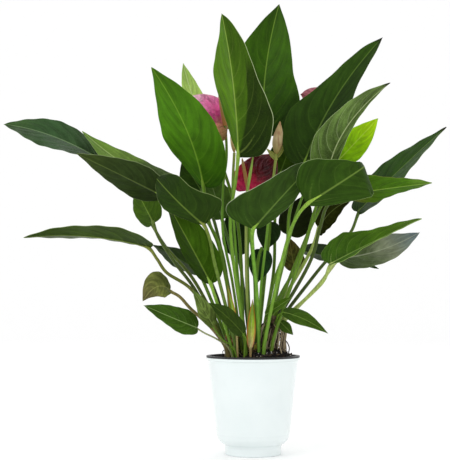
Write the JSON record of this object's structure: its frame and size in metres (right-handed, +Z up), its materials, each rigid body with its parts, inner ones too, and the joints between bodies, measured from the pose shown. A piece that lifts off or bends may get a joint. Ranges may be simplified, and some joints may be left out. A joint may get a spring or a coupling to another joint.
{
  "type": "potted anthurium",
  "caption": "Flowering house plant with long-stalked pointed leaves and pink and crimson spathes, growing in a black nursery pot that hangs in a tapered white outer pot with a foot ring.",
  "frame": {"origin": "centre of the outer pot's flat foot", "axes": "+Z up along the pot's axis, -Y towards the front of the plant, +X to the right seen from the front"},
  "size_m": [0.5756, 0.2101, 0.594],
  "materials": {
    "leaf_dark": "satin, dark green leaf blade and its petiole",
    "leaf_green": "satin, mid green leaf blade and its petiole",
    "leaf_bright": "satin, light green leaf blade and its petiole",
    "leaf_yellow": "translucent yellow-green leaf blade",
    "leaf_olive": "satin, olive leaf blade",
    "leaf_grey": "glossy, grey-green leaf blade",
    "leaf_brown": "dull, ageing brown-green leaf blade",
    "sheath": "dull, pale yellow-green sheath",
    "stalk": "satin, green stalk",
    "spathe_pink": "waxy pink spathe",
    "spathe_crimson": "waxy crimson spathe",
    "spadix": "fine-grained orange-brown spadix",
    "bud": "dull beige bud",
    "crown": "rough brown crown and aerial roots",
    "mix": "loose black-brown bark and peat mix",
    "pot_white": "smooth white, softly glossy",
    "pot_black": "black, slightly glossy"
  },
  "bodies": {
    "root": {"leaf_top_front": "leaf_green", "leaf_top_back": "leaf_dark", "leaf_upper_left": "leaf_green", "leaf_pale_left": "leaf_bright", "leaf_upper_right": "leaf_dark", "leaf_folded_right": "leaf_green", "leaf_yellow_right": "leaf_yellow", "leaf_front_right": "leaf_green", "leaf_front_centre": "leaf_dark", "leaf_front_left": "leaf_dark", "leaf_hanging_left": "leaf_olive", "leaf_far_left_top": "leaf_grey", "leaf_far_left": "leaf_dark", "leaf_bright_left": "leaf_bright", "leaf_inner_left": "leaf_green", "leaf_level_left": "leaf_green", "leaf_dark_left": "leaf_dark", "leaf_olive_right": "leaf_olive", "leaf_lower_right": "leaf_bright", "leaf_silver_right": "leaf_grey", "leaf_dark_right": "leaf_dark", "leaf_far_right_top": "leaf_dark", "leaf_far_right": "leaf_bright", "leaf_old_right": "leaf_brown", "leaf_inner_centre": "leaf_dark", "leaf_inner_back": "leaf_dark", "leaf_old_left": "leaf_brown", "leaf_low_left": "leaf_green", "leaf_mottled_left": "leaf_olive", "leaf_low_centre": "leaf_dark", "leaf_low_right": "leaf_green", "leaf_inner_low_right": "leaf_green", "leaf_small_low_right": "leaf_green", "leaf_edge_left": "leaf_dark", "leaf_grey_back": "leaf_grey", "leaf_behind_bud": "leaf_olive", "leaf_behind_right": "leaf_olive", "leaf_behind_left": "leaf_dark", "sheath_front": "sheath", "sheath_left": "sheath", "leaf_rolled": "leaf_bright", "bloom_left_spathe": "spathe_pink", "bloom_left_spadix": "spadix", "bloom_left_stalk": "stalk", "bloom_centre_spathe": "spathe_crimson", "bloom_centre_spadix": "spadix", "bloom_centre_stalk": "stalk", "bloom_right_spathe": "spathe_pink", "bloom_right_spadix": "spadix", "bloom_right_stalk": "stalk", "bud_beige": "bud", "bud_beige_stalk": "stalk", "bud_cream": "bud", "bud_cream_stalk": "stalk", "outer_pot": "pot_white", "nursery_pot": "pot_black", "crown_main": "crown", "crown_left": "crown", "crown_right": "crown", "potting_mix": "mix"}
  },
  "joints": []
}
